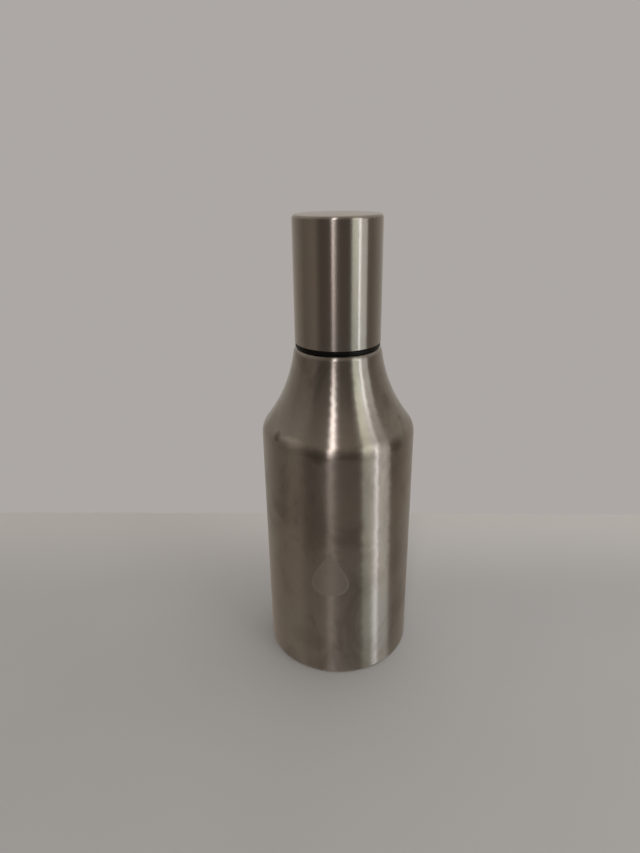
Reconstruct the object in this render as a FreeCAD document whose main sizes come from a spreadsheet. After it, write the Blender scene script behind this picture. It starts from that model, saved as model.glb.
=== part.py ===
import FreeCAD, Part
import os
import re
import Sketcher
from FreeCAD import Vector

# Vacuum-insulated steel bottle with a screw-in pouring stopper and a screw-on drinking cup.
# Frame: the base rests on Z = 0, the bottle's axis is Z, millimetres.
# Bottle pieces have their heights from the base, stopper pieces from the bottle's lip, and cup pieces
# from the cup's rim. Both screws are right-handed: anticlockwise from above lifts them.

DIMENSIONS = {
    # Outer body: straight side, rounded shoulder, hollow sweep to the neck, rounded lip
    "body_radius": 37.5,
    "steel_wall": 0.5,
    "vacuum_gap": 2.8,
    "base_corner": 1.5,
    "hem_radius": 33.5,
    "straight_height": 122.6,
    "shoulder_radius": 10.65,
    "shoulder_slope": 37.2,
    "shoulder_run": 0.5,
    "sweep_radius": 72.7,
    "neck_slope": 8.0,
    "lip_radius": 2.6,
    # Bottle ends, inside
    "floor_height": 2.5,
    "floor_skirt": 35.9,
    "floor_clearance": 0.1,
    "port_radius": 1.2,
    "bead_radius": 2.4,
    "bead_depth": 0.9,
    "cover_radius": 35.0,
    "cover_ring": 17.5,
    "cover_ring_rise": 0.4,
    "cover_ring_crest": 1.0,
    "cover_ring_foot": 2.0,
    "liner_floor": 6.2,
    "getter_offset": 18.0,
    "getter_radius": 4.0,
    "getter_depth": 2.2,
    "foil_wall": 0.12,
    "foil_clearance": 0.2,
    "foil_low_margin": 3.0,
    "foil_high_margin": 2.0,
    # Bore of the neck, with its thread and the ledge that the stopper seals on
    "neck_bore": 17.6,
    "ledge_bore": 14.6,
    "ledge_depth": 12.9,
    "flare_slope": 21.0,
    "flare_depth": 2.0,
    "flare_inset": 0.2,
    "neck_lead": 8.0,
    "thread_height": 1.05,
    "thread_foot": 2.2,
    "thread_crest": 1.2,
    "thread_root_sink": 0.25,
    "neck_thread_low": 6.9,
    "thread_turns": 0.6,
    # Stopper
    "flange_radius": 20.0,
    "flange_low": 0.13,
    "flange_high": 2.02,
    "flange_edge": 0.5,
    "collar_radius": 16.9,
    "deck_high": 15.3,
    "deck_thickness": 2.4,
    "rim_high": 17.3,
    "rim_inside": 15.6,
    "rim_edge": 0.5,
    "skirt_radius": 16.2,
    "skirt_depth": 11.0,
    "socket_radius": 15.1,
    "socket_step": 7.5,
    "chamber_radius": 14.4,
    "seat_bottom": 15.3,
    "seat_floor": 12.4,
    "seat_hole": 6.0,
    "seat_plug": 14.9,
    "seat_flange": 14.2,
    "seat_neck": 13.1,
    "seat_inside": 11.9,
    "seat_clearance": 0.1,
    "gasket_bore": 13.4,
    "gasket_clearance": 0.15,
    "gasket_edge": 0.4,
    "tube_radius": 9.4,
    "tube_bore": 8.2,
    "tube_foot_clearance": 0.2,
    "spider_high": 1.6,
    "spider_thickness": 1.2,
    "flow_hole": 1.6,
    "flow_circle": 6.1,
    "foam_high": 0.9,
    "foam_clearance": 0.3,
    "slot_inside": 12.2,
    "slot_outside": 14.0,
    "slot_half_angle": 35.0,
    # Button, valve and spring
    "button_hole": 9.2,
    "button_radius": 8.9,
    "button_wall": 1.3,
    "button_high": 20.6,
    "button_flange": 10.1,
    "button_flange_high": 12.7,
    "button_flange_low": 11.3,
    "button_edge": 1.0,
    "boss_radius": 3.2,
    "boss_low": 12.3,
    "stem_radius": 2.0,
    "stem_low": 19.0,
    "stem_high": 15.5,
    "stem_fit": 0.05,
    "stem_clearance": 0.3,
    "valve_radius": 9.2,
    "valve_low": 19.6,
    "valve_high": 17.6,
    "valve_edge": 0.6,
    "seal_radius": 8.6,
    "seal_high": 15.45,
    "wiper_depth": 1.3,
    "wiper_outside": 10.4,
    "wiper_groove": 10.6,
    "bezel_radius": 11.6,
    "bezel_thickness": 1.0,
    "bezel_edge": 0.35,
    "coil_radius": 3.9,
    "wire_radius": 0.4,
    "coil_turns": 6.0,
    # Cup
    "cup_radius": 20.25,
    "cup_height": 56.5,
    "cup_gap": 2.25,
    "cup_corner": 1.6,
    "cup_bore": 18.25,
    "cup_liner_radius": 19.5,
    "cup_liner_low": 1.25,
    "cup_liner_top": 1.5,
    "cup_liner_bend": 2.0,
    "cup_floor_bend": 3.0,
    "cup_lead": 10.0,
    "cup_thread_low": 2.75,
    "cup_thread_foot": 2.5,
    "cup_thread_turns": 0.45,
    "cup_seal_low": -0.05,
    "cup_seal_high": 1.1,
    "cup_seal_bore": 18.35,
    "cup_seal_radius": 19.3,
}

THREAD_STARTS = 2
FLOW_HOLES = 4
POUR_SLOTS = 2

doc = FreeCAD.newDocument("insulated_bottle")
sizes = doc.addObject("Spreadsheet::Sheet", "sizes")
for row, (name, number) in enumerate(DIMENSIONS.items(), start=1):
    sizes.set(f"A{row}", name.replace("_", " "))
    sizes.set(f"B{row}", str(number))
    sizes.setAlias(f"B{row}", name)
doc.recompute()

# Places that follow from the sheet. The shoulder is three stretches, each tangent to the next:
# a rounded turn inwards, a short straight run, and a hollow sweep back towards the vertical.
RUN_TOP_RADIUS = (
    "(body_radius - shoulder_radius * (1 - cos(shoulder_slope)) - shoulder_run * sin(shoulder_slope))"
)
RUN_TOP_HEIGHT = (
    "(straight_height + shoulder_radius * sin(shoulder_slope) + shoulder_run * cos(shoulder_slope))"
)


def sweep_point(slope, inset):
    """The point of the sweep with this slope from the vertical, on a surface set in by inset."""
    radius = f"{RUN_TOP_RADIUS} - sweep_radius * (cos({slope}) - cos(shoulder_slope))"
    height = f"{RUN_TOP_HEIGHT} + sweep_radius * (sin(shoulder_slope) - sin({slope}))"
    return f"({radius} - {inset} * cos({slope}))", f"({height} - {inset} * sin({slope}))"


NECK_RADIUS, NECK_HEIGHT = sweep_point("neck_slope", "0")
LIP_FLAT_RADIUS = f"({NECK_RADIUS} - lip_radius * cos(neck_slope))"
LIP_HEIGHT = f"({NECK_HEIGHT} + lip_radius * (1 - sin(neck_slope)))"
CUP_RIM_HEIGHT = f"({LIP_HEIGHT} + cup_gap)"
LINER_OUTSIDE = "(steel_wall + vacuum_gap)"
LINER_INSIDE = "(2 * steel_wall + vacuum_gap)"
LEDGE_HEIGHT = f"({LIP_HEIGHT} - ledge_depth)"
BASE = "0"


def value(expression):
    """The number that an expression in the sheet's names stands for."""
    return float(sizes.evalExpression(expression))


def linked(expression):
    """The same expression for an object outside the sheet. Every name in the sheet has an underscore."""
    return re.sub(r"[a-z]+_[a-z_]+", r"sizes.\g<0>", expression)


# An outline is a closed list of stretches, each given by where it ends, as (radius, height).


def to(radius, height):
    """A straight stretch."""
    return radius, height, None, 1


def left(radius, height, bend):
    """An arc that turns left along the way, with the radius bend."""
    return radius, height, bend, 1


def right(radius, height, bend):
    """An arc that turns right along the way."""
    return radius, height, bend, -1


def backwards(stretches):
    """The same stretches travelled from the last end to the first, for the other side of a wall."""
    turned = []
    bend, side = None, 1
    for radius, height, next_bend, next_side in reversed(stretches):
        turned.append((radius, height, bend, -side if bend else 1))
        bend, side = next_bend, next_side
    return turned


def rectangle(inside, outside, low, high):
    """The section of a plain ring."""
    return [to(inside, low), to(outside, low), to(outside, high), to(inside, high)]


def curved_edge(start, end, bend, side):
    """An arc from start to end, drawn anticlockwise as a sketch keeps it."""
    chord = end - start
    rise = bend - (bend**2 - (chord.Length / 2) ** 2) ** 0.5
    outwards = Vector(chord.y, -chord.x, 0).normalize() * side
    middle = (start + end) * 0.5 + outwards * rise
    if side < 0:
        start, end = end, start
    return Part.Arc(start, middle, end)


def tie(sketch, kind, geometry, corner, expression):
    """Holds a corner's distance from the sketch's origin at an expression's value."""
    number = value(expression)
    if abs(number) < 1e-9:
        axis = -2 if kind == "DistanceX" else -1
        sketch.addConstraint(Sketcher.Constraint("PointOnObject", geometry, corner, axis))
        return
    index = sketch.addConstraint(Sketcher.Constraint(kind, -1, 1, geometry, corner, number))
    sketch.setExpression(f"Constraints[{index}]", linked(expression))


def draw(sketch, outline):
    """Adds a closed outline to a sketch, with each corner and bend tied to the sheet."""
    corners = [Vector(value(radius), value(height), 0) for radius, height, _, _ in outline]
    edges = []
    for number, (_, _, bend, side) in enumerate(outline):
        start, end = corners[number - 1], corners[number]
        if bend:
            edge = curved_edge(start, end, value(bend), side)
        else:
            edge = Part.LineSegment(start, end)
        edges.append(sketch.addGeometry(edge, False))
    for number, (radius, height, bend, side) in enumerate(outline):
        following = (number + 1) % len(outline)
        finish = 2 if side > 0 else 1
        beginning = 1 if outline[following][3] > 0 else 2
        joined = Sketcher.Constraint("Coincident", edges[number], finish, edges[following], beginning)
        sketch.addConstraint(joined)
        tie(sketch, "DistanceX", edges[number], finish, radius)
        tie(sketch, "DistanceY", edges[number], finish, height)
        if bend:
            index = sketch.addConstraint(Sketcher.Constraint("Radius", edges[number], value(bend)))
            sketch.setExpression(f"Constraints[{index}]", linked(bend))


def origin_feature(body, role):
    return next(feature for feature in body.Origin.OriginFeatures if feature.Role == role)


def new_sketch(body, name, plane="XZ_Plane"):
    sketch = body.newObject("Sketcher::SketchObject", f"{body.Label}_{name}")
    sketch.AttachmentSupport = [(origin_feature(body, plane), "")]
    sketch.MapMode = "FlatFace"
    return sketch


def circle_sketch(body, name, plane, across, up, radius):
    """A sketch of one circle, with its centre and its radius tied to the sheet."""
    sketch = new_sketch(body, name, plane)
    centre = Vector(value(across), value(up), 0)
    circle = sketch.addGeometry(Part.Circle(centre, Vector(0, 0, 1), value(radius)), False)
    tie(sketch, "DistanceX", circle, 3, across)
    tie(sketch, "DistanceY", circle, 3, up)
    index = sketch.addConstraint(Sketcher.Constraint("Radius", circle, value(radius)))
    sketch.setExpression(f"Constraints[{index}]", linked(radius))
    return sketch


def new_body(label, height=BASE):
    body = doc.addObject("PartDesign::Body", label)
    body.Label = label
    if height != BASE:
        body.setExpression("Placement.Base.z", linked(height))
    return body


def turned_body(label, outline, height=BASE):
    """A body made by turning an outline about the axis. Its own origin is at this height."""
    body = new_body(label, height)
    sketch = new_sketch(body, "outline")
    draw(sketch, outline)
    turned = body.newObject("PartDesign::Revolution", f"{label}_turned")
    turned.Profile = sketch
    turned.ReferenceAxis = (sketch, ["V_Axis"])
    turned.Angle = 360
    doc.recompute()
    return body


def repeat_round(body, feature, count):
    """Repeats a feature evenly round the axis."""
    pattern = body.newObject("PartDesign::PolarPattern", f"{feature.Name}_pattern")
    pattern.Originals = [feature]
    pattern.Axis = (origin_feature(body, "Z_Axis"), [""])
    pattern.Angle = 360
    pattern.Occurrences = count
    body.Tip = pattern
    doc.recompute()


def add_thread(body, name, section, lead, turns):
    """Adds thread ridges that climb by lead in each turn, one for each start."""
    sketch = new_sketch(body, f"{name}_section")
    draw(sketch, section)
    ridge = body.newObject("PartDesign::AdditiveHelix", f"{body.Label}_{name}")
    ridge.Profile = sketch
    ridge.ReferenceAxis = (sketch, ["V_Axis"])
    ridge.Mode = "pitch-turns-angle"
    ridge.setExpression("Pitch", linked(lead))
    ridge.setExpression("Turns", linked(turns))
    doc.recompute()
    repeat_round(body, ridge, THREAD_STARTS)


def ridge_section(wall, direction, middle, foot):
    """A ridge's section: its foot sunk in the wall, its crest out from it by the thread's height.

    direction is +1 for a ridge that stands outwards and -1 for one that stands inwards.
    """
    root = f"{wall} - {direction} * thread_root_sink"
    crest = f"{wall} + {direction} * thread_height"
    return [
        to(root, f"{middle} - {foot} / 2"),
        to(crest, f"{middle} - thread_crest / 2"),
        to(crest, f"{middle} + thread_crest / 2"),
        to(root, f"{middle} + {foot} / 2"),
    ]


def cut_through(body, sketch, depth):
    """Cuts a sketch's outline both ways from its plane, and makes sure that it removed something."""
    before = body.Shape.Volume
    pocket = body.newObject("PartDesign::Pocket", f"{sketch.Name}_cut")
    pocket.Profile = sketch
    pocket.Midplane = True
    pocket.setExpression("Length", linked(depth))
    doc.recompute()
    if body.Shape.Volume >= before:
        raise ValueError(f"{pocket.Name} cuts nothing")
    return pocket


def soften(body, rings, size):
    """Rounds the circular edges at these (radius, height) places of a body."""
    base = body.Tip
    places = [(value(radius), value(height)) for radius, height in rings]
    names = []
    for number, edge in enumerate(base.Shape.Edges, start=1):
        if not isinstance(edge.Curve, Part.Circle):
            continue
        centre = edge.Curve.Center
        for radius, height in places:
            if abs(edge.Curve.Radius - radius) < 1e-3 and abs(centre.z - height) < 1e-3:
                names.append(f"Edge{number}")
    if len(names) != len(places):
        raise ValueError(f"{body.Label}: {len(names)} of {len(places)} edges found")
    fillet = body.newObject("PartDesign::Fillet", f"{body.Label}_fillet")
    fillet.Base = (base, names)
    fillet.setExpression("Radius", linked(size))
    body.Tip = fillet
    doc.recompute()


# Bottle


def shoulder(inset, last_slope):
    """The stretches from the foot of the shoulder to a slope on its sweep, set in by inset."""
    start = to(f"body_radius - {inset}", "straight_height")
    turn_radius = "body_radius - shoulder_radius * (1 - cos(shoulder_slope))"
    turn_radius += f" - {inset} * cos(shoulder_slope)"
    turn_height = f"straight_height + (shoulder_radius - {inset}) * sin(shoulder_slope)"
    turn = left(turn_radius, turn_height, f"shoulder_radius - {inset}")
    run = to(*sweep_point("shoulder_slope", inset))
    sweep = right(*sweep_point(last_slope, inset), f"sweep_radius + {inset}")
    return [start, turn, run, sweep]


def outer_shell():
    """The steel outside: hem, straight side, shoulder, neck and rounded lip, all one wall."""
    outside = [
        to("body_radius - base_corner", "0"),
        left("body_radius", "base_corner", "base_corner"),
        *shoulder("0", "neck_slope"),
        left(LIP_FLAT_RADIUS, LIP_HEIGHT, "lip_radius"),
    ]
    inside = [
        to("body_radius - base_corner", "steel_wall"),
        left("body_radius - steel_wall", "base_corner", "base_corner - steel_wall"),
        *shoulder("steel_wall", "neck_slope"),
        left(LIP_FLAT_RADIUS, f"{LIP_HEIGHT} - steel_wall", "lip_radius - steel_wall"),
    ]
    outline = [
        to("hem_radius", "0"),
        *outside,
        to("neck_bore", LIP_HEIGHT),
        to("neck_bore", f"{LIP_HEIGHT} - steel_wall"),
        *backwards(inside),
        to("hem_radius", "steel_wall"),
    ]
    return turned_body("outer_shell", outline)


def outer_bottom():
    """The pressed disc that closes the outer wall. Its skirt stands on the hem; its middle is the port."""
    top = "floor_height + steel_wall"
    outline = [
        to("port_radius", "floor_height"),
        to("floor_skirt - steel_wall", "floor_height"),
        to("floor_skirt - steel_wall", "steel_wall"),
        to("floor_skirt", "steel_wall"),
        to("floor_skirt", "floor_height"),
        to("body_radius - steel_wall - floor_clearance", "floor_height"),
        to("body_radius - steel_wall - floor_clearance", top),
        to("port_radius", top),
    ]
    return turned_body("outer_bottom", outline)


def base_cover():
    """The plate seen from below, resting on the hem, with a shallow pressed ring."""
    low, high = "steel_wall", "2 * steel_wall"
    ring = [
        ("cover_ring - cover_ring_foot", ""),
        ("cover_ring - cover_ring_crest", " + cover_ring_rise"),
        ("cover_ring + cover_ring_crest", " + cover_ring_rise"),
        ("cover_ring + cover_ring_foot", ""),
    ]
    outline = [to("0", low)]
    outline += [to(radius, low + rise) for radius, rise in ring]
    outline += [to("cover_radius", low), to("cover_radius", high)]
    outline += [to(radius, high + rise) for radius, rise in reversed(ring)]
    outline.append(to("0", high))
    return turned_body("base_cover", outline)


def vacuum_seal():
    """The bead under the port."""
    bend = "(bead_radius^2 + bead_depth^2) / (2 * bead_depth)"
    outline = [
        to("0", "floor_height - bead_depth"),
        left("bead_radius", "floor_height", bend),
        to("0", "floor_height"),
    ]
    return turned_body("vacuum_seal", outline)


def getter():
    """The capsule on the vacuum side of the outer bottom."""
    body = new_body("getter", "floor_height + steel_wall")
    sketch = circle_sketch(body, "outline", "XY_Plane", "getter_offset", "0", "getter_radius")
    pad = body.newObject("PartDesign::Pad", "getter_pad")
    pad.Profile = sketch
    pad.setExpression("Length", linked("getter_depth"))
    doc.recompute()
    return body


def inner_liner():
    """The steel inside: straight side, shoulder, flare, sealing ledge and threaded neck, all one wall."""
    ledge_outside = "ledge_bore + steel_wall"
    neck_outside = "neck_bore + steel_wall"
    flare_top = f"{LEDGE_HEIGHT} - flare_depth"
    outside = [
        to(f"body_radius - {LINER_OUTSIDE}", "liner_floor + steel_wall"),
        *shoulder(LINER_OUTSIDE, "flare_slope"),
        to(ledge_outside, flare_top),
        to(ledge_outside, f"{LEDGE_HEIGHT} - steel_wall"),
        to(neck_outside, f"{LEDGE_HEIGHT} - steel_wall"),
        to(neck_outside, f"{LIP_HEIGHT} - steel_wall"),
    ]
    inside = [
        to(f"body_radius - {LINER_INSIDE}", "liner_floor + steel_wall"),
        *shoulder(LINER_INSIDE, "flare_slope"),
        to("ledge_bore", f"{flare_top} - flare_inset"),
        to("ledge_bore", LEDGE_HEIGHT),
        to("neck_bore", LEDGE_HEIGHT),
        to("neck_bore", f"{LIP_HEIGHT} - steel_wall"),
    ]
    body = turned_body("inner_liner", outside + backwards(inside))
    section = ridge_section("neck_bore", -1, f"{LIP_HEIGHT} - neck_thread_low", "thread_foot")
    add_thread(body, "thread", section, "neck_lead", "thread_turns")
    return body


def inner_bottom():
    """The disc that closes the liner."""
    outline = rectangle("0", f"body_radius - {LINER_OUTSIDE}", "liner_floor", "liner_floor + steel_wall")
    return turned_body("inner_bottom", outline)


def reflective_foil():
    """The reflecting sleeve round the liner's straight side."""
    inside = f"body_radius - {LINER_OUTSIDE} + foil_clearance"
    low = "liner_floor + foil_low_margin"
    high = "straight_height - foil_high_margin"
    return turned_body("reflective_foil", rectangle(inside, f"{inside} + foil_wall", low, high))


# Stopper


def stopper_housing():
    """Threaded skirt, the flange that shows as a ring above the lip, threaded collar, deck and rim."""
    deck_low = "deck_high - deck_thickness"
    outline = [
        to("button_hole", deck_low),
        to("chamber_radius", deck_low),
        to("chamber_radius", "-socket_step"),
        to("socket_radius", "-socket_step"),
        to("socket_radius", "-skirt_depth"),
        to("skirt_radius", "-skirt_depth"),
        to("skirt_radius", "flange_low"),
        to("flange_radius", "flange_low"),
        to("flange_radius", "flange_high"),
        to("collar_radius", "flange_high"),
        to("collar_radius", "rim_high"),
        to("rim_inside", "rim_high"),
        to("rim_inside", "deck_high"),
        to("wiper_groove", "deck_high"),
        to("wiper_groove", "deck_high - wiper_depth"),
        to("button_hole", "deck_high - wiper_depth"),
    ]
    body = turned_body("stopper_housing", outline, LIP_HEIGHT)
    soften(body, [("flange_radius", "flange_low"), ("flange_radius", "flange_high")], "flange_edge")
    soften(body, [("collar_radius", "rim_high"), ("rim_inside", "rim_high")], "rim_edge")
    sketch = new_sketch(body, "pour_slot", "XY_Plane")
    draw(sketch, pour_slot())
    slot = cut_through(body, sketch, "3 * deck_high")
    repeat_round(body, slot, POUR_SLOTS)
    # A ridge lies half a pitch from its mates when the screw is home
    neck_middle = "-(neck_thread_low + neck_lead / 4)"
    section = ridge_section("skirt_radius", 1, neck_middle, "thread_foot")
    add_thread(body, "neck_thread", section, "neck_lead", "thread_turns")
    collar_middle = "cup_gap + cup_thread_low + cup_lead / 4"
    section = ridge_section("collar_radius", 1, collar_middle, "cup_thread_foot")
    add_thread(body, "collar_thread", section, "cup_lead", "cup_thread_turns")
    return body


def pour_slot():
    """A slot in the deck that follows the rim. Its plane is level, so its places are (x, y)."""
    ends = {}
    for reach in ("slot_inside", "slot_outside"):
        ends[reach] = (f"{reach} * cos(slot_half_angle)", f"{reach} * sin(slot_half_angle)")
    (inner_x, inner_y), (outer_x, outer_y) = ends["slot_inside"], ends["slot_outside"]
    return [
        to(outer_x, f"-{outer_y}"),
        left(outer_x, outer_y, "slot_outside"),
        to(inner_x, inner_y),
        right(inner_x, f"-{inner_y}", "slot_inside"),
    ]


def stopper_base():
    """The stopper's floor: valve seat, neck that carries the gasket, and plug that fits the housing."""
    outline = [
        to("seat_hole", "-seat_bottom"),
        to("seat_flange", "-seat_bottom"),
        to("seat_flange", "-(ledge_depth + seat_clearance)"),
        to("seat_neck", "-(ledge_depth + seat_clearance)"),
        to("seat_neck", "-skirt_depth"),
        to("seat_plug", "-skirt_depth"),
        to("seat_plug", "-socket_step"),
        to("seat_inside", "-socket_step"),
        to("seat_inside", "-seat_floor"),
        to("seat_hole", "-seat_floor"),
    ]
    return turned_body("stopper_base", outline, LIP_HEIGHT)


def neck_gasket():
    """The silicone ring that the stopper presses on the ledge."""
    low = "-(ledge_depth - gasket_clearance)"
    high = "-(skirt_depth + gasket_clearance)"
    body = turned_body("neck_gasket", rectangle("gasket_bore", "skirt_radius", low, high), LIP_HEIGHT)
    soften(body, [("skirt_radius", low), ("skirt_radius", high)], "gasket_edge")
    return body


def valve_guide():
    """The pouring tube, standing on the stopper's floor, with the spider that guides the stem."""
    foot_top = "-seat_floor + spider_thickness"
    spider_low = "spider_high - spider_thickness"
    outline = [
        to("tube_bore", "-seat_floor"),
        to("seat_inside - tube_foot_clearance", "-seat_floor"),
        to("seat_inside - tube_foot_clearance", foot_top),
        to("tube_radius", foot_top),
        to("tube_radius", "spider_high"),
        to("stem_radius + stem_clearance", "spider_high"),
        to("stem_radius + stem_clearance", spider_low),
        to("tube_bore", spider_low),
    ]
    body = turned_body("valve_guide", outline, LIP_HEIGHT)
    sketch = circle_sketch(body, "flow_hole", "XY_Plane", "flow_circle", "0", "flow_hole")
    cut = cut_through(body, sketch, "4 * spider_high")
    repeat_round(body, cut, FLOW_HOLES)
    return body


def stopper_insulation():
    """The foam ring between the pouring tube and the housing."""
    inside = "tube_radius + foam_clearance"
    outside = "chamber_radius - foam_clearance"
    outline = rectangle(inside, outside, "-socket_step", "foam_high")
    return turned_body("stopper_insulation", outline, LIP_HEIGHT)


def button_seal_ring():
    """The wiper that keeps the drink from rising round the button."""
    outline = rectangle("button_hole", "wiper_outside", "deck_high - wiper_depth", "deck_high")
    return turned_body("button_seal_ring", outline, LIP_HEIGHT)


def button_bezel():
    """The trim ring that holds the wiper down."""
    high = "deck_high + bezel_thickness"
    outline = rectangle("button_hole", "bezel_radius", "deck_high", high)
    body = turned_body("button_bezel", outline, LIP_HEIGHT)
    soften(body, [("bezel_radius", high), ("button_hole", high)], "bezel_edge")
    return body


# Button, valve and spring


def push_button():
    """A hollow button with a retaining flange under the deck and a boss that takes the stem."""
    inside = "button_radius - button_wall"
    ceiling = "button_high - button_wall"
    outline = [
        to(inside, "button_flange_low"),
        to("button_flange", "button_flange_low"),
        to("button_flange", "button_flange_high"),
        to("button_radius", "button_flange_high"),
        to("button_radius", "button_high"),
        to("0", "button_high"),
        to("0", "stem_high"),
        to("stem_radius + stem_fit", "stem_high"),
        to("stem_radius + stem_fit", "boss_low"),
        to("boss_radius", "boss_low"),
        to("boss_radius", ceiling),
        to(inside, ceiling),
    ]
    body = turned_body("push_button", outline, LIP_HEIGHT)
    soften(body, [("button_radius", "button_high")], "button_edge")
    return body


def valve_stem():
    """The rod from the button to the valve."""
    outline = rectangle("0", "stem_radius", "-stem_low", "stem_high")
    return turned_body("valve_stem", outline, LIP_HEIGHT)


def valve_head():
    """The disc that carries the seal, with a blind hole for the stem's end."""
    outline = [
        to("0", "-valve_low"),
        to("valve_radius", "-valve_low"),
        to("valve_radius", "-valve_high"),
        to("stem_radius + stem_fit", "-valve_high"),
        to("stem_radius + stem_fit", "-stem_low"),
        to("0", "-stem_low"),
    ]
    body = turned_body("valve_head", outline, LIP_HEIGHT)
    soften(body, [("valve_radius", "-valve_low")], "valve_edge")
    return body


def valve_seal():
    """The silicone washer that closes the seat."""
    outline = rectangle("stem_radius + stem_clearance", "seal_radius", "-valve_high", "-seal_high")
    return turned_body("valve_seal", outline, LIP_HEIGHT)


def button_spring():
    """The return spring, from the spider up to the button's ceiling round the boss."""
    body = new_body("button_spring", LIP_HEIGHT)
    low = "spider_high + wire_radius"
    rise = "(button_high - button_wall - spider_high - 2 * wire_radius)"
    sketch = circle_sketch(body, "wire", "XZ_Plane", "coil_radius", low, "wire_radius")
    coil = body.newObject("PartDesign::AdditiveHelix", "button_spring_coil")
    coil.Profile = sketch
    coil.ReferenceAxis = (sketch, ["V_Axis"])
    coil.Mode = "height-turns-angle"
    coil.setExpression("Height", linked(rise))
    coil.setExpression("Turns", linked("coil_turns"))
    doc.recompute()
    return body


# Cup


def cup_shell():
    """The steel outside of the cup, closed at the top and open at the rim."""
    inside = "cup_radius - steel_wall"
    outline = [
        to(inside, "0"),
        to("cup_radius", "0"),
        to("cup_radius", "cup_height - cup_corner"),
        left("cup_radius - cup_corner", "cup_height", "cup_corner"),
        to("0", "cup_height"),
        to("0", "cup_height - steel_wall"),
        to("cup_radius - cup_corner", "cup_height - steel_wall"),
        right(inside, "cup_height - cup_corner", "cup_corner - steel_wall"),
    ]
    return turned_body("cup_shell", outline, CUP_RIM_HEIGHT)


def cup_liner():
    """The plastic inside of the cup, with the thread that takes the collar."""
    outer_top = "cup_height - steel_wall"
    inner_top = "cup_height - steel_wall - cup_liner_top"
    outline = [
        to("cup_bore", "cup_liner_low"),
        to("cup_liner_radius", "cup_liner_low"),
        to("cup_liner_radius", f"{outer_top} - cup_liner_bend"),
        left("cup_liner_radius - cup_liner_bend", outer_top, "cup_liner_bend"),
        to("0", outer_top),
        to("0", inner_top),
        to("cup_bore - cup_floor_bend", inner_top),
        right("cup_bore", f"{inner_top} - cup_floor_bend", "cup_floor_bend"),
    ]
    body = turned_body("cup_liner", outline, CUP_RIM_HEIGHT)
    section = ridge_section("cup_bore", -1, "cup_thread_low", "cup_thread_foot")
    add_thread(body, "thread", section, "cup_lead", "cup_thread_turns")
    return body


def cup_seal_ring():
    """The silicone ring under the liner, which meets the stopper's flange."""
    outline = rectangle("cup_seal_bore", "cup_seal_radius", "cup_seal_low", "cup_seal_high")
    return turned_body("cup_seal_ring", outline, CUP_RIM_HEIGHT)


def check_and_export(bodies):
    """Stops on any failed object or shape, then writes each piece to its own file."""
    for item in doc.Objects:
        if "Invalid" in item.State or "Error" in item.State:
            raise ValueError(f"{item.Label} failed: {item.State}")
    os.makedirs("parts", exist_ok=True)
    for body in bodies:
        shape = body.Shape
        if shape.isNull() or not shape.isValid() or len(shape.Solids) != 1:
            raise ValueError(f"{body.Label} isn't one valid solid")
    for body in bodies:
        body.Shape.exportStep(f"parts/{body.Label}.step")
        box = body.Shape.BoundBox
        print(f"{body.Label:20s} {body.Shape.Volume / 1000:8.3f} cm3  z {box.ZMin:8.2f} to {box.ZMax:8.2f}")


bottle_pieces = [
    outer_shell(),
    outer_bottom(),
    base_cover(),
    vacuum_seal(),
    getter(),
    inner_liner(),
    inner_bottom(),
    reflective_foil(),
]
stopper_pieces = [
    stopper_housing(),
    stopper_base(),
    neck_gasket(),
    valve_guide(),
    stopper_insulation(),
    button_seal_ring(),
    button_bezel(),
    push_button(),
    valve_stem(),
    valve_head(),
    valve_seal(),
    button_spring(),
]
cup_pieces = [cup_shell(), cup_liner(), cup_seal_ring()]
doc.recompute()
check_and_export(bottle_pieces + stopper_pieces + cup_pieces)
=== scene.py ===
import math

import bmesh
import bpy
from mathutils import Matrix, Quaternion, Vector


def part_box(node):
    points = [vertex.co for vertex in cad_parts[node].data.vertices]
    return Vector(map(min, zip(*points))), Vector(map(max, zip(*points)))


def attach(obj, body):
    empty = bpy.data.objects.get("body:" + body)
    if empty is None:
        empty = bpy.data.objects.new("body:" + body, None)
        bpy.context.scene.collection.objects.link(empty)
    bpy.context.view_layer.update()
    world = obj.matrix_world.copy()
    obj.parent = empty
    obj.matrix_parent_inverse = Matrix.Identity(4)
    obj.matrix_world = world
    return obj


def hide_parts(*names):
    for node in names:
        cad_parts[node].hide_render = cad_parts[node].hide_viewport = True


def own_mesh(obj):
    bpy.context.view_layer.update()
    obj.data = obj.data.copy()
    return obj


# A brushed steel vacuum bottle with a screwed-on cup, on a plain pale floor. Metres, +Z up, the bottle's
# axis is Z and the camera looks along +Y. Compass bearings are degrees round the axis: 0 is towards the
# camera and 90 is to its right.

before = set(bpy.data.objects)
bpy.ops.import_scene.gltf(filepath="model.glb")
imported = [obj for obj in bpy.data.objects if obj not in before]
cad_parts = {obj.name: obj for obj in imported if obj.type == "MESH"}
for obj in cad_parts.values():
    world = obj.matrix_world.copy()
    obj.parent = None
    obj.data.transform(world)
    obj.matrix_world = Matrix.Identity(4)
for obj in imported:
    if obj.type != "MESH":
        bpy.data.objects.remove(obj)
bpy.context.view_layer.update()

MM = 0.001

# How finely things are divided
ROUND_STEPS = 256  # quads round each turned piece
BASE_STEPS = 10
SHOULDER_STEPS = 24
SWEEP_STEPS = 40
LIP_STEPS = 12
CUP_STEPS = 14
CUP_INNER_STEPS = 8
COIL_STEPS = 48  # rings of wire in each turn of the spring
WIRE_STEPS = 14
SHARP_ANGLE = math.radians(30)

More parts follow.
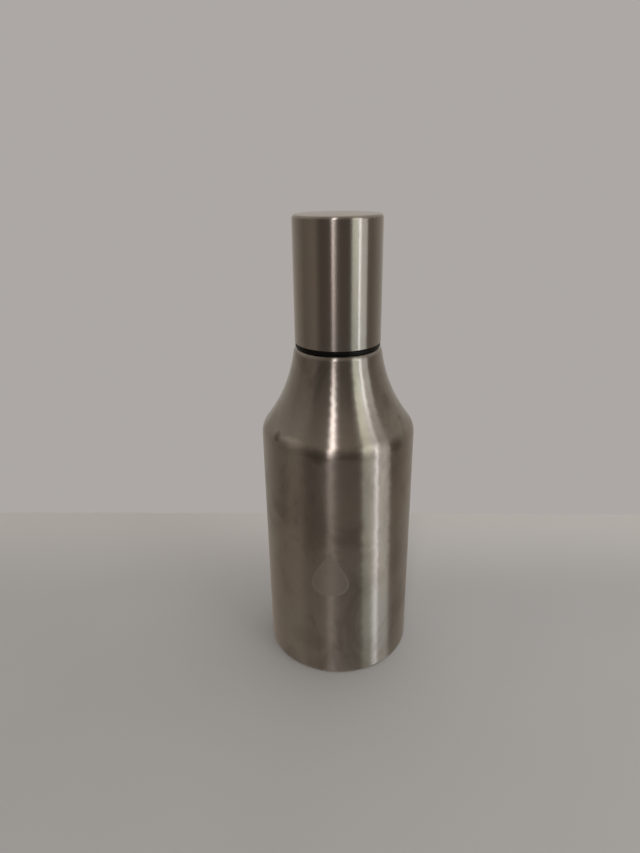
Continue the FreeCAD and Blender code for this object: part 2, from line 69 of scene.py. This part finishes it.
# Bottle
BODY_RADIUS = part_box("outer_shell")[1].x
STEEL_WALL = 0.5 * MM
BASE_CORNER = 1.5 * MM
HEM_RADIUS = 33.5 * MM
NECK_BORE = 17.6 * MM
STRAIGHT_HEIGHT = 122.6 * MM
SHOULDER_RADIUS = 10.65 * MM
SHOULDER_SLOPE = math.radians(37.2)
SHOULDER_RUN = 0.5 * MM
SWEEP_RADIUS = 72.7 * MM
NECK_SLOPE = math.radians(8.0)
LIP_RADIUS = 2.6 * MM

# Cup
CUP_LOW, CUP_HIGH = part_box("cup_shell")
CUP_RADIUS = CUP_HIGH.x
CUP_CORNER = 1.6 * MM

# Return spring under the button, made at one length, though the button's travel shortens the real one
SPRING_LOW, SPRING_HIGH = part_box("button_spring")
WIRE_RADIUS = 0.4 * MM
COIL_RADIUS = SPRING_HIGH.x - WIRE_RADIUS
COIL_TURNS = 6
COIL_PLAY = 0.02 * MM

# Camera, at the photograph's viewing angle
CAMERA_DISTANCE = 276.4 * MM
CAMERA_HEIGHT = 240.1 * MM
CAMERA_PITCH = math.radians(22.82)
CAMERA_YAW = math.radians(-1.85)
CAMERA_ROLL = math.radians(-0.81)
LENS_MM = 25.32
SENSOR_MM = 36

# Floor
FLOOR_BACK = 122 * MM
FLOOR_FRONT = 300 * MM
FLOOR_SIDE = 520 * MM
FLOOR_FADE = 20 * MM  # painted light: from here to its back edge the floor is painted paler


# Mesh helpers


def add_object(name, data):
    """A new object in the scene."""
    made = bpy.data.objects.new(name, data)
    bpy.context.scene.collection.objects.link(made)
    return made


def mesh_object(name, work):
    """Turns a bmesh into an object whose faces look outwards."""
    bmesh.ops.recalc_face_normals(work, faces=work.faces)
    mesh = bpy.data.meshes.new(name)
    work.to_mesh(mesh)
    work.free()
    return add_object(name, mesh)


def arc(centre, radius, start, end, steps):
    """Points (radius, height) on an arc in the profile plane, from one angle to another, in radians."""
    points = []
    for step in range(steps + 1):
        angle = start + (end - start) * step / steps
        points.append((centre[0] + radius * math.cos(angle), centre[1] + radius * math.sin(angle)))
    return points


def lathe(name, profile):
    """A closed solid of revolution. The profile is a closed loop, or an open one that ends on the axis."""
    work = bmesh.new()
    rings = []
    for radius, height in profile:
        if radius == 0:
            rings.append([work.verts.new((0, 0, height))])
            continue
        ring = []
        for step in range(ROUND_STEPS):
            angle = 2 * math.pi * step / ROUND_STEPS
            ring.append(work.verts.new((radius * math.cos(angle), radius * math.sin(angle), height)))
        rings.append(ring)
    closed = len(rings[0]) > 1 and len(rings[-1]) > 1
    pairs = list(zip(rings, rings[1:]))
    if closed:
        pairs.append((rings[-1], rings[0]))
    for lower, upper in pairs:
        for step in range(ROUND_STEPS):
            following = (step + 1) % ROUND_STEPS
            corners = [lower[step % len(lower)], lower[following % len(lower)]]
            corners += [upper[following % len(upper)], upper[step % len(upper)]]
            unique = list(dict.fromkeys(corners))
            if len(unique) > 2:
                work.faces.new(unique)
    for face in work.faces:
        face.smooth = True
    piece = mesh_object(name, work)
    piece.data.set_sharp_from_angle(angle=SHARP_ANGLE)
    return piece


def shell_side(inset):
    """The bottle's side from base corner to lip, on a surface set in by inset."""
    corner = BASE_CORNER - inset
    points = arc((BODY_RADIUS - BASE_CORNER, BASE_CORNER), corner, -math.pi / 2, 0, BASE_STEPS)
    turn_centre = (BODY_RADIUS - SHOULDER_RADIUS, STRAIGHT_HEIGHT)
    points += arc(turn_centre, SHOULDER_RADIUS - inset, 0, SHOULDER_SLOPE, SHOULDER_STEPS)
    run_radius = turn_centre[0] + SHOULDER_RADIUS * math.cos(SHOULDER_SLOPE)
    run_radius -= SHOULDER_RUN * math.sin(SHOULDER_SLOPE)
    run_height = turn_centre[1] + SHOULDER_RADIUS * math.sin(SHOULDER_SLOPE)
    run_height += SHOULDER_RUN * math.cos(SHOULDER_SLOPE)
    sweep_centre = (
        run_radius + SWEEP_RADIUS * math.cos(SHOULDER_SLOPE),
        run_height + SWEEP_RADIUS * math.sin(SHOULDER_SLOPE),
    )
    start, end = math.pi + SHOULDER_SLOPE, math.pi + NECK_SLOPE
    points += arc(sweep_centre, SWEEP_RADIUS + inset, start, end, SWEEP_STEPS)
    neck_radius = sweep_centre[0] - SWEEP_RADIUS * math.cos(NECK_SLOPE)
    neck_height = sweep_centre[1] - SWEEP_RADIUS * math.sin(NECK_SLOPE)
    lip_centre = (
        neck_radius - LIP_RADIUS * math.cos(NECK_SLOPE),
        neck_height - LIP_RADIUS * math.sin(NECK_SLOPE),
    )
    points += arc(lip_centre, LIP_RADIUS - inset, NECK_SLOPE, math.pi / 2, LIP_STEPS)[1:]
    return points


def make_bottle_shell():
    """The bottle's outer sheet, from the hem under its base to its lip."""
    outside = shell_side(0)
    inside = shell_side(STEEL_WALL)
    profile = [(HEM_RADIUS, STEEL_WALL / 2), (HEM_RADIUS + STEEL_WALL / 2, 0)]
    profile += outside
    profile += [(NECK_BORE, outside[-1][1]), (NECK_BORE, inside[-1][1])]
    profile += reversed(inside)
    profile += [(HEM_RADIUS + STEEL_WALL / 2, STEEL_WALL)]
    return lathe("bottle_shell", profile)


def make_cup_shell():
    """The cup's outer sheet, with its mouth down."""
    low, high = CUP_LOW.z, CUP_HIGH.z
    inside = CUP_RADIUS - STEEL_WALL
    centre = (CUP_RADIUS - CUP_CORNER, high - CUP_CORNER)
    edge = STEEL_WALL / 3
    profile = [(0, high - STEEL_WALL)]
    profile += reversed(arc(centre, CUP_CORNER - STEEL_WALL, 0, math.pi / 2, CUP_INNER_STEPS))
    profile += [(inside, low + edge), (inside + edge, low)]
    profile += [(CUP_RADIUS - edge, low), (CUP_RADIUS, low + edge)]
    profile += arc(centre, CUP_CORNER, 0, math.pi / 2, CUP_STEPS)
    profile += [(0, high)]
    return lathe("cup_skin", profile)


def make_spring():
    """An open coil of round wire with cut ends, a hair shorter than the room it stands in."""
    work = bmesh.new()
    low = SPRING_LOW.z + WIRE_RADIUS + COIL_PLAY
    rise = SPRING_HIGH.z - SPRING_LOW.z - 2 * (WIRE_RADIUS + COIL_PLAY)
    steps = COIL_TURNS * COIL_STEPS
    rings = []
    for step in range(steps + 1):
        angle = 2 * math.pi * step / COIL_STEPS
        height = low + rise * step / steps
        ring = []
        for corner in range(WIRE_STEPS):
            lean = 2 * math.pi * corner / WIRE_STEPS
            radius = COIL_RADIUS + WIRE_RADIUS * math.cos(lean)
            up = height + WIRE_RADIUS * math.sin(lean)
            ring.append(work.verts.new((radius * math.cos(angle), radius * math.sin(angle), up)))
        rings.append(ring)
    for lower, upper in zip(rings, rings[1:]):
        for corner in range(WIRE_STEPS):
            following = (corner + 1) % WIRE_STEPS
            work.faces.new((lower[corner], lower[following], upper[following], upper[corner]))
    work.faces.new(rings[0])
    work.faces.new(rings[-1])
    for face in work.faces:
        face.smooth = len(face.verts) == 4
    return mesh_object("spring_coil", work)


# Materials

STEEL_WARM = (0.515, 0.465, 0.42)
STEEL_COOL = (0.48, 0.465, 0.43)
STEEL_STAIN = (0.20, 0.165, 0.135)
# Painted highlight colour, for marks whose darkness is below zero
STEEL_PAINTED_HIGHLIGHT = (0.86, 0.80, 0.72)
STEEL_GROOVE = (0.25, 0.23, 0.21)
STEEL_ETCHED = (0.56, 0.53, 0.50)

# Noise on the steel, in repeats a metre along X, Y and Z: the three kinds of brush line, then dirt and tint
BRUSH_LINES = (6, 6, 2600)
STRANDS = (8, 8, 900)
BROAD_LINES = (12, 12, 480)
SMEARS = (30, 30, 20)
WATER_MARKS = (95, 95, 60)
TINTS = (22, 22, 14)

# Noise on everything else, in repeats a metre
METAL_PATCHES = (120,) * 3
HANDLED_PLACES = (90,) * 3
FLOOR_PATCHES = (5,) * 3
FLOOR_WEAVE = (900,) * 3

QUARTER_TURN = 0.25  # of the brush direction, so that highlights spread up and down
STEEL_ROUGHNESS = (0.285, 0.305)
GREASE_ROUGHNESS = 0.03
GROOVE_SHARE = 0.06
WATER_MARK_SHARE = 0.4
BRUSHED, BARELY_BRUSHED = 1.0, 0.3  # anisotropy of the sides, then of faces that look up or down
TOP_STARTS, TOP_FULL = 0.8, 0.97  # how upright a face's normal is where the one turns into the other

# Patches on the bottle, most of them on its shoulder: bearing in degrees, then height, half width and half
# height in millimetres, then how dark. A darkness below zero is a painted highlight, a patch paler than the
# steel.
MARKS = [
    (-52, 128, 2, 2, 0.7),
    (-43, 127, 5, 1, 0.2),
    (-36, 128, 6, 2, -0.5),
    (-14, 124, 5, 3, 0.45),
    (8, 124, 6, 2, 0.2),
    (65, 134, 2, 1.5, 0.4),
    (56, 143, 3, 4, 0.4),
    (46, 125, 4, 3, 0.35),
    (-47, 109, 7, 9, 0.12),
    (50, 62, 5, 9, 0.2),
    (-24, 20, 9, 6, 0.18),
]
# How far noise moves a mark's edge, and where the mark fades, as squared distances in half widths
MARK_FRAY = 3.0
MARK_EDGE = (-0.2, 2.0)

# The etched droplet on the front
DROP_BEARING = math.radians(-6)
DROP_HEIGHT = 62.5 * MM
DROP_REACH = 13.5 * MM
DROP_LINE = 1.3 * MM
DROP_SOFTNESS = 0.15 * MM
DROP_FATNESS = 0.52
DROP_INSIDE = 0.45  # depth inside the outline, where the outline's is 1
# How far the etching changes the colour, the roughness and the anisotropy
ETCHED_TINT, ETCHED_ROUGHNESS, ETCHED_SCATTER = 0.55, 0.16, 0.35


class Graph:
    """A node tree, with short ways to add nodes."""

    def __init__(self, tree, coordinates):
        self.nodes = tree.nodes
        self.links = tree.links
        self.place = self.nodes.new("ShaderNodeTexCoord").outputs[coordinates]

    def math(self, operation, first, second=0.0, clamp=False):
        node = self.nodes.new("ShaderNodeMath")
        node.operation = operation
        node.use_clamp = clamp
        for socket, value in zip(node.inputs, (first, second)):
            if isinstance(value, (int, float)):
                socket.default_value = value
            else:
                self.links.new(value, socket)
        return node.outputs[0]

    def vector(self, operation, first, second=None, scale=None):
        node = self.nodes.new("ShaderNodeVectorMath")
        node.operation = operation
        self.links.new(first, node.inputs[0])
        if second is not None:
            self.links.new(second, node.inputs[1])
        if scale is not None:
            self.links.new(scale, node.inputs["Scale"])
        return node.outputs["Vector"]

    def split(self, source):
        node = self.nodes.new("ShaderNodeSeparateXYZ")
        self.links.new(source, node.inputs[0])
        return node.outputs

    def noise(self, scale, detail, roughness=0.5, distortion=0.0):
        """Noise with its own number of repeats a metre along each axis."""
        stretch = self.nodes.new("ShaderNodeMapping")
        stretch.inputs["Scale"].default_value = scale
        self.links.new(self.place, stretch.inputs["Vector"])
        node = self.nodes.new("ShaderNodeTexNoise")
        node.inputs["Scale"].default_value = 1.0
        node.inputs["Detail"].default_value = detail
        node.inputs["Roughness"].default_value = roughness
        node.inputs["Distortion"].default_value = distortion
        self.links.new(stretch.outputs["Vector"], node.inputs["Vector"])
        return node.outputs["Fac"]

    def ramp(self, source, low, high, start=0.0, end=1.0, smooth=True):
        """Moves source's range from low..high to start..end, clamped."""
        node = self.nodes.new("ShaderNodeMapRange")
        node.interpolation_type = "SMOOTHSTEP" if smooth else "LINEAR"
        node.inputs["From Min"].default_value = low
        node.inputs["From Max"].default_value = high
        node.inputs["To Min"].default_value = start
        node.inputs["To Max"].default_value = end
        self.links.new(source, node.inputs["Value"])
        return node.outputs["Result"]

    def mix(self, factor, first, second):
        """Blends two colours, each a socket or three numbers."""
        node = self.nodes.new("ShaderNodeMix")
        node.data_type = "RGBA"
        self.links.new(factor, node.inputs["Factor"])
        colour_sockets = node.inputs[6:8]
        for socket, value in zip(colour_sockets, (first, second)):
            if isinstance(value, tuple):
                socket.default_value = (*value, 1.0)
            else:
                self.links.new(value, socket)
        return node.outputs[2]

    def bump(self, height, distance, strength):
        node = self.nodes.new("ShaderNodeBump")
        node.inputs["Strength"].default_value = strength
        node.inputs["Distance"].default_value = distance
        self.links.new(height, node.inputs["Height"])
        return node.outputs["Normal"]

    def shades(self, share, stops):
        """Shades by degrees away from the front, share being how far round the half turn a point is."""
        node = self.nodes.new("ShaderNodeValToRGB")
        marks = node.color_ramp.elements
        for index, (degrees, brightness) in enumerate(stops):
            position = degrees / 180
            mark = marks[index] if index < 2 else marks.new(position)
            mark.position = position
            mark.color = (*studio_shade(brightness), 1)
        self.links.new(share, node.inputs[0])
        return node.outputs["Color"]


class Surface(Graph):
    """A material's nodes, round its Principled shader."""

    def __init__(self, name):
        self.material = bpy.data.materials.new(name)
        self.material.use_nodes = True
        super().__init__(self.material.node_tree, "Object")
        self.shader = self.nodes["Principled BSDF"]

    def set(self, **values):
        """Values for the shader's own sockets, their names written with underscores."""
        for name, value in values.items():
            self.shader.inputs[name.replace("_", " ")].default_value = value

    def link(self, source, socket):
        self.links.new(source, self.shader.inputs[socket])

    def turned(self, angle):
        """The object's coordinates, turned so that this bearing (in radians) lies along -Y."""
        node = self.nodes.new("ShaderNodeMapping")
        node.inputs["Rotation"].default_value = (0, 0, -angle)
        self.links.new(self.place, node.inputs["Vector"])
        return self.split(node.outputs["Vector"])

    def blot(self, mark, ragged):
        """A soft ragged-edged spot on the near side of its own bearing, worth the mark's last value."""
        degrees, height, half_width, half_height, dark = mark
        across, depth, up = self.turned(math.radians(degrees))
        aside = self.math("DIVIDE", across, half_width * MM)
        above = self.math("DIVIDE", self.math("SUBTRACT", up, height * MM), half_height * MM)
        reach = self.math("ADD", self.math("MULTIPLY", aside, aside), self.math("MULTIPLY", above, above))
        fray = self.math("MULTIPLY", self.math("SUBTRACT", ragged, 0.5), MARK_FRAY)
        spot = self.ramp(self.math("ADD", reach, fray), *MARK_EDGE, dark, 0.0)
        return self.math("MULTIPLY", spot, self.math("LESS_THAN", depth, 0.0))

    def droplet(self):
        """How deeply the etched droplet bites: its outline wholly, and its inside partly."""
        across, depth, up = self.turned(DROP_BEARING)
        aside = self.math("ABSOLUTE", across)
        level = self.math("SUBTRACT", up, DROP_HEIGHT)
        shapes = []
        for reach in (DROP_REACH, DROP_REACH - DROP_LINE):
            rise = self.math("DIVIDE", level, reach)
            narrowing = self.math("SUBTRACT", 1.0, rise)
            rounding = self.math("SUBTRACT", 1.0, self.math("MULTIPLY", rise, rise))
            bulge = self.math("SQRT", self.math("MAXIMUM", rounding, 0.0))
            half = self.math("MULTIPLY", self.math("MULTIPLY", bulge, narrowing), DROP_FATNESS * reach)
            shapes.append(self.ramp(self.math("SUBTRACT", half, aside), -DROP_SOFTNESS, DROP_SOFTNESS))
        whole, inner = shapes
        bite = self.math("SUBTRACT", whole, self.math("MULTIPLY", inner, 1 - DROP_INSIDE))
        return self.math("MULTIPLY", bite, self.math("LESS_THAN", depth, 0.0))


def brushed_steel(name, smudges, sway, marks=(), etched=False):
    """Stainless steel brushed round the axis: fine rings, a wide upright highlight, smears, water marks and
    any listed marks, among them a painted highlight.

    smudges is how dirty it is, and sway is how far the brush lines throw the highlight to either side.
    """
    graph = Surface(name)
    graph.set(Metallic=1.0, Anisotropic_Rotation=QUARTER_TURN)
    tangent = graph.nodes.new("ShaderNodeTangent")
    tangent.direction_type = "RADIAL"
    tangent.axis = "Z"
    around = tangent.outputs["Tangent"]
    graph.link(around, "Tangent")
    facing = graph.nodes.new("ShaderNodeNewGeometry").outputs["Normal"]
    upward = graph.split(facing)["Z"]

    brush = graph.noise(BRUSH_LINES, detail=2.0, roughness=0.6)
    strands = graph.noise(STRANDS, detail=0.0)
    smear = graph.noise(SMEARS, detail=6.0, roughness=0.6, distortion=1.4)
    drops = graph.noise(WATER_MARKS, detail=4.0, roughness=0.55, distortion=1.2)
    tint = graph.noise(TINTS, detail=2.0)
    stains = graph.ramp(drops, 0.55, 0.72, 0.0, WATER_MARK_SHARE)
    dirty = graph.math("ADD", graph.ramp(smear, 0.45, 0.68), stains)
    dirt_and_painted_highlight = graph.math("MULTIPLY", dirty, smudges)
    # The listed marks join the dirt here; the one below zero is a painted highlight
    for mark in marks:
        dirt_and_painted_highlight = graph.math("ADD", dirt_and_painted_highlight, graph.blot(mark, drops))
    dirt_and_painted_highlight = graph.math("MINIMUM", graph.math("MAXIMUM", dirt_and_painted_highlight, -1.0), 1.0)

    colour = graph.mix(graph.ramp(tint, 0.35, 0.65), STEEL_WARM, STEEL_COOL)
    colour = graph.mix(graph.math("MULTIPLY", dirt_and_painted_highlight, 1.0, clamp=True), colour, STEEL_STAIN)
    # Painted highlight: a mark whose darkness is below zero brightens the steel towards a pale colour
    colour = graph.mix(graph.math("MULTIPLY", dirt_and_painted_highlight, -1.0, clamp=True), colour, STEEL_PAINTED_HIGHLIGHT)
    colour = graph.mix(graph.ramp(brush, 0.3, 0.7, 0.0, GROOVE_SHARE), colour, STEEL_GROOVE)
    rough = graph.ramp(strands, 0.3, 0.7, *STEEL_ROUGHNESS, smooth=False)
    rough = graph.math("ADD", rough, graph.math("MULTIPLY", dirt_and_painted_highlight, GREASE_ROUGHNESS))
    upright = graph.math("ABSOLUTE", upward)
    along = graph.ramp(upright, TOP_STARTS, TOP_FULL, BRUSHED, BARELY_BRUSHED)
    if etched:
        bitten = graph.droplet()
        colour = graph.mix(graph.math("MULTIPLY", bitten, ETCHED_TINT), colour, STEEL_ETCHED)
        rough = graph.math("ADD", rough, graph.math("MULTIPLY", bitten, ETCHED_ROUGHNESS))
        along = graph.math("SUBTRACT", along, graph.math("MULTIPLY", bitten, ETCHED_SCATTER))
    graph.link(colour, "Base Color")
    graph.link(rough, "Roughness")
    graph.link(along, "Anisotropic")

    lines = graph.noise(BROAD_LINES, detail=0.0)
    thrown = graph.vector("SCALE", around, scale=graph.ramp(lines, 0.25, 0.75, -sway, sway, smooth=False))
    graph.link(graph.vector("NORMALIZE", graph.vector("ADD", facing, thrown)), "Normal")
    return graph.material


def plain_metal(name, colour, roughness, grain=900):
    """Sheet or drawn metal that isn't brushed."""
    graph = Surface(name)
    graph.set(Metallic=1.0)
    cloudy = graph.noise(METAL_PATCHES, detail=5.0)
    fine = graph.noise((grain,) * 3, detail=3.0)
    dark = tuple(c * 0.8 for c in colour)
    graph.link(graph.mix(graph.ramp(cloudy, 0.35, 0.7), colour, dark), "Base Color")
    graph.link(graph.ramp(fine, 0.3, 0.7, roughness - 0.05, roughness + 0.07, smooth=False), "Roughness")
    graph.link(graph.bump(fine, 0.01 * MM, 0.4), "Normal")
    return graph.material


def moulded(name, colour, roughness, grain=2500, specular=0.5, depth=0.02 * MM):
    """Moulded plastic, rubber, foam or glass, with a fine grain of this depth."""
    graph = Surface(name)
    graph.set(Specular_IOR_Level=specular)
    grit = graph.noise((grain,) * 3, detail=3.0)
    handled = graph.noise(HANDLED_PLACES, detail=4.0)
    worn = tuple(min(1.0, c * 1.5 + 0.006) for c in colour)
    graph.link(graph.mix(graph.ramp(handled, 0.4, 0.75, 0.0, 0.6), colour, worn), "Base Color")
    rough = graph.ramp(handled, 0.3, 0.7, roughness - 0.06, roughness + 0.08, smooth=False)
    graph.link(rough, "Roughness")
    graph.link(graph.bump(grit, depth, 0.6), "Normal")
    return graph.material


def paint(material, *names):
    """Gives CAD nodes a material."""
    for name in names:
        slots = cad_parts[name].data.materials
        slots.clear()
        slots.append(material)


# Light and stage


def bearing(degrees):
    """The level direction at a compass bearing."""
    turn = math.radians(degrees)
    return Vector((math.sin(turn), -math.cos(turn), 0))


AIM = Vector((0, 0, 130 * MM))

# Strip lights: name, bearing and width in degrees, lowest and highest elevation, distance in metres,
# brightness, colour, and how many degrees the strip's foot is tipped to the right
PANELS = [
    ("lamp_left", -13.2, 5.5, 4, 60, 1.3, 2.9, (1.0, 0.89, 0.88), -7),
    ("lamp_high", -9.8, 9, 32, 58, 1.25, 4.0, (1.0, 0.95, 0.93), 0),
    ("window_pale", 42.5, 17, -40, 36, 1.2, 0.32, (0.93, 1.0, 0.93), 5),
    ("window_pale_high", 42.5, 15, 10, 38, 1.18, 1.8, (0.96, 1.0, 0.85), -8),
    ("window_line", 56.4, 4.5, -54, 32, 1.15, 2.2, (0.96, 1.0, 1.05), 5),
    ("window_line_high", 57, 6.5, 9, 31, 1.13, 2.1, (0.98, 1.0, 0.98), -7),
    ("window_edge", 70, 18, -40, 24, 1.2, 0.66, (0.98, 1.0, 0.98), 5),
]

# The one light over everything, which the steel doesn't mirror
OVERHEAD_PLACE = (1.1, 0.7, 2.0)
OVERHEAD_SIDE = 4.0
OVERHEAD_GLOW = 0.52
WHITE = (1.0, 1.0, 1.0)

# The plain studio that the steel mirrors, the same on both sides: brightness by degrees away from the
# front, with a dark front, dimmer sides and a pale back. Round the bottle, then above it, then below it.
LEVEL = [(0, 0.02), (45, 0.04), (60, 0.17), (95, 0.13), (120, 0.25), (180, 0.55)]
CEILING = [(0, 0.28), (50, 0.20), (90, 0.35), (130, 0.45), (180, 0.50)]
TABLE = [(0, 0.33), (60, 0.30), (120, 0.30), (180, 0.35)]
# Sines of the elevations between which the first turns into each of the other two
CEILING_STARTS, CEILING_FULL = 0.1, 0.6
TABLE_STARTS, TABLE_FULL = -0.35, -0.78

BACKDROP = (0.418, 0.392, 0.376)
FLOOR_TINTS = [(0.475, 0.480, 0.485), (0.505, 0.510, 0.514)]
# Painted light: the paler colour the floor turns to at its back edge
FLOOR_FAR_PAINTED_LIGHT = (0.615, 0.605, 0.600)


def studio_shade(brightness):
    """A grey that is warmer the darker it is: its green and blue fall behind its red."""
    return (brightness, brightness * (0.78 + 0.3 * brightness), brightness * (0.60 + 0.5 * brightness))


def area_light(name, width, height, glow, colour):
    """A rectangular light that the camera doesn't see, as bright to look at whatever its size."""
    lamp = bpy.data.lights.new(name, "AREA")
    lamp.shape = "RECTANGLE"
    lamp.size = width
    lamp.size_y = height
    lamp.energy = glow * math.pi * width * height
    lamp.color = colour
    holder = add_object(name, lamp)
    holder.visible_camera = False
    return holder


def make_panel(name, degrees, width, low, high, distance, glow, colour, lean):
    """A strip light that covers width degrees of bearing and these elevations, as seen from AIM."""
    top = distance * math.tan(math.radians(high))
    bottom = distance * math.tan(math.radians(low))
    breadth = 2 * distance * math.tan(math.radians(width / 2))
    holder = area_light(name, breadth, top - bottom, glow, colour)
    out = bearing(degrees)
    up = (top + bottom) / 2
    aside = bearing(degrees + 90) * (-up * math.tan(math.radians(lean)))
    holder.location = AIM + out * distance + aside + Vector((0, 0, up))
    upright = out.to_track_quat("Z", "Y")
    holder.rotation_euler = (upright @ Quaternion((0, 0, 1), math.radians(lean))).to_euler()


def make_lights():
    """The overhead light, then the strips."""
    overhead = area_light("overhead", OVERHEAD_SIDE, OVERHEAD_SIDE, OVERHEAD_GLOW, WHITE)
    overhead.location = OVERHEAD_PLACE
    overhead.visible_glossy = False
    for row in PANELS:
        make_panel(*row)


def make_world():
    """The studio that the steel mirrors, and the plain backdrop that the camera sees."""
    world = bpy.data.worlds.new("studio")
    bpy.context.scene.world = world
    world.use_nodes = True
    world.node_tree.nodes.clear()
    graph = Graph(world.node_tree, "Generated")
    right, back, up = graph.split(graph.place)
    turn = graph.math("ARCTAN2", right, graph.math("MULTIPLY", back, -1.0))
    share = graph.ramp(graph.math("ABSOLUTE", turn), 0.0, math.pi, smooth=False)
    around = graph.shades(share, LEVEL)
    for stops, starts, full in ((CEILING, CEILING_STARTS, CEILING_FULL), (TABLE, TABLE_STARTS, TABLE_FULL)):
        around = graph.mix(graph.ramp(up, starts, full), around, graph.shades(share, stops))
    new, join = graph.nodes.new, graph.links.new
    mirrored, seen = new("ShaderNodeBackground"), new("ShaderNodeBackground")
    join(around, mirrored.inputs["Color"])
    seen.inputs["Color"].default_value = (*BACKDROP, 1)
    ray, choose, out = new("ShaderNodeLightPath"), new("ShaderNodeMixShader"), new("ShaderNodeOutputWorld")
    join(ray.outputs["Is Camera Ray"], choose.inputs["Fac"])
    join(mirrored.outputs[0], choose.inputs[1])
    join(seen.outputs[0], choose.inputs[2])
    join(choose.outputs[0], out.inputs["Surface"])


def make_floor():
    """A plain pale floor, as matt as cloth, with painted light that makes it paler towards its back edge.
    The steel mirrors the studio in its place.
    """
    mesh = bpy.data.meshes.new("floor")
    corners = [
        (-FLOOR_SIDE, -FLOOR_FRONT, 0),
        (FLOOR_SIDE, -FLOOR_FRONT, 0),
        (FLOOR_SIDE, FLOOR_BACK, 0),
        (-FLOOR_SIDE, FLOOR_BACK, 0),
    ]
    mesh.from_pydata(corners, [], [(0, 1, 2, 3)])
    floor = add_object("floor", mesh)
    graph = Surface("pale_cloth")
    graph.set(Specular_IOR_Level=0.1)
    cloudy = graph.noise(FLOOR_PATCHES, detail=2.0)
    weave = graph.noise(FLOOR_WEAVE, detail=2.0)
    near = graph.mix(graph.ramp(cloudy, 0.3, 0.7), *FLOOR_TINTS)
    # Painted light: the floor turns paler towards its back edge, as though lit more there
    painted_light_farther = graph.ramp(graph.split(graph.place)["Y"], FLOOR_FADE, FLOOR_BACK)
    graph.link(graph.mix(painted_light_farther, near, FLOOR_FAR_PAINTED_LIGHT), "Base Color")
    graph.link(graph.ramp(weave, 0.3, 0.7, 0.85, 0.95), "Roughness")
    graph.link(graph.bump(weave, 0.1 * MM, 0.3), "Normal")
    mesh.materials.append(graph.material)
    floor.visible_glossy = False
    floor.visible_shadow = False


def make_camera():
    """The camera, a little above the cup and looking down at the bottle."""
    data = bpy.data.cameras.new("camera")
    data.lens = LENS_MM
    data.sensor_width = SENSOR_MM
    data.clip_start = 10 * MM
    camera = add_object("camera", data)
    level = Vector((math.sin(CAMERA_YAW), math.cos(CAMERA_YAW), 0))
    side = Vector((math.cos(CAMERA_YAW), -math.sin(CAMERA_YAW), 0))
    up = Vector((0, 0, 1))
    ahead = level * math.cos(CAMERA_PITCH) - up * math.sin(CAMERA_PITCH)
    above = level * math.sin(CAMERA_PITCH) + up * math.cos(CAMERA_PITCH)
    right = side * math.cos(CAMERA_ROLL) + above * math.sin(CAMERA_ROLL)
    top = above * math.cos(CAMERA_ROLL) - side * math.sin(CAMERA_ROLL)
    turn = Matrix((right, top, -ahead)).transposed()
    camera.matrix_world = Matrix.Translation((0, -CAMERA_DISTANCE, CAMERA_HEIGHT)) @ turn.to_4x4()
    bpy.context.scene.camera = camera


steel = brushed_steel("brushed_steel", 0.36, 0.009, MARKS, etched=True)
cup_steel = brushed_steel("brushed_steel_cup", 0.09, 0.0015)
black = moulded("black_plastic", (0.003, 0.003, 0.0031), 0.4, specular=0.2)
grey = moulded("button_plastic", (0.085, 0.085, 0.088), 0.42)
white = moulded("stem_plastic", (0.72, 0.72, 0.70), 0.35)
silicone = moulded("silicone", (0.62, 0.61, 0.58), 0.55, specular=0.4)
foam = moulded("foam", (0.85, 0.85, 0.83), 0.85, grain=700, specular=0.2, depth=0.2 * MM)
bead = moulded("glass_bead", (0.20, 0.17, 0.13), 0.15, grain=600)
sheet_steel = plain_metal("sheet_steel", (0.56, 0.55, 0.53), 0.32)
spring_steel = plain_metal("spring_steel", (0.62, 0.62, 0.62), 0.22)
foil = plain_metal("foil", (0.80, 0.80, 0.79), 0.18, grain=300)
getter_metal = plain_metal("getter_metal", (0.38, 0.38, 0.40), 0.40)

bottle_shell = make_bottle_shell()
bottle_shell.data.materials.append(steel)
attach(bottle_shell, "bottle")
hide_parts("outer_shell")

cup_skin = make_cup_shell()
cup_skin.data.materials.append(cup_steel)
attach(cup_skin, "cup")
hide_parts("cup_shell")

spring_coil = make_spring()
spring_coil.data.materials.append(spring_steel)
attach(spring_coil, "stopper")
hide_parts("button_spring")
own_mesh(spring_coil)

paint(sheet_steel, "outer_bottom", "base_cover", "inner_liner", "inner_bottom")
paint(foil, "reflective_foil")
paint(getter_metal, "getter")
paint(bead, "vacuum_seal")
paint(black, "stopper_housing", "stopper_base", "valve_guide", "button_bezel", "valve_head", "cup_liner")
paint(grey, "push_button")
paint(white, "valve_stem")
paint(silicone, "neck_gasket", "valve_seal", "button_seal_ring", "cup_seal_ring")
paint(foam, "stopper_insulation")

make_world()
make_floor()
make_camera()
make_lights()

bpy.context.scene.view_settings.view_transform = "Standard"
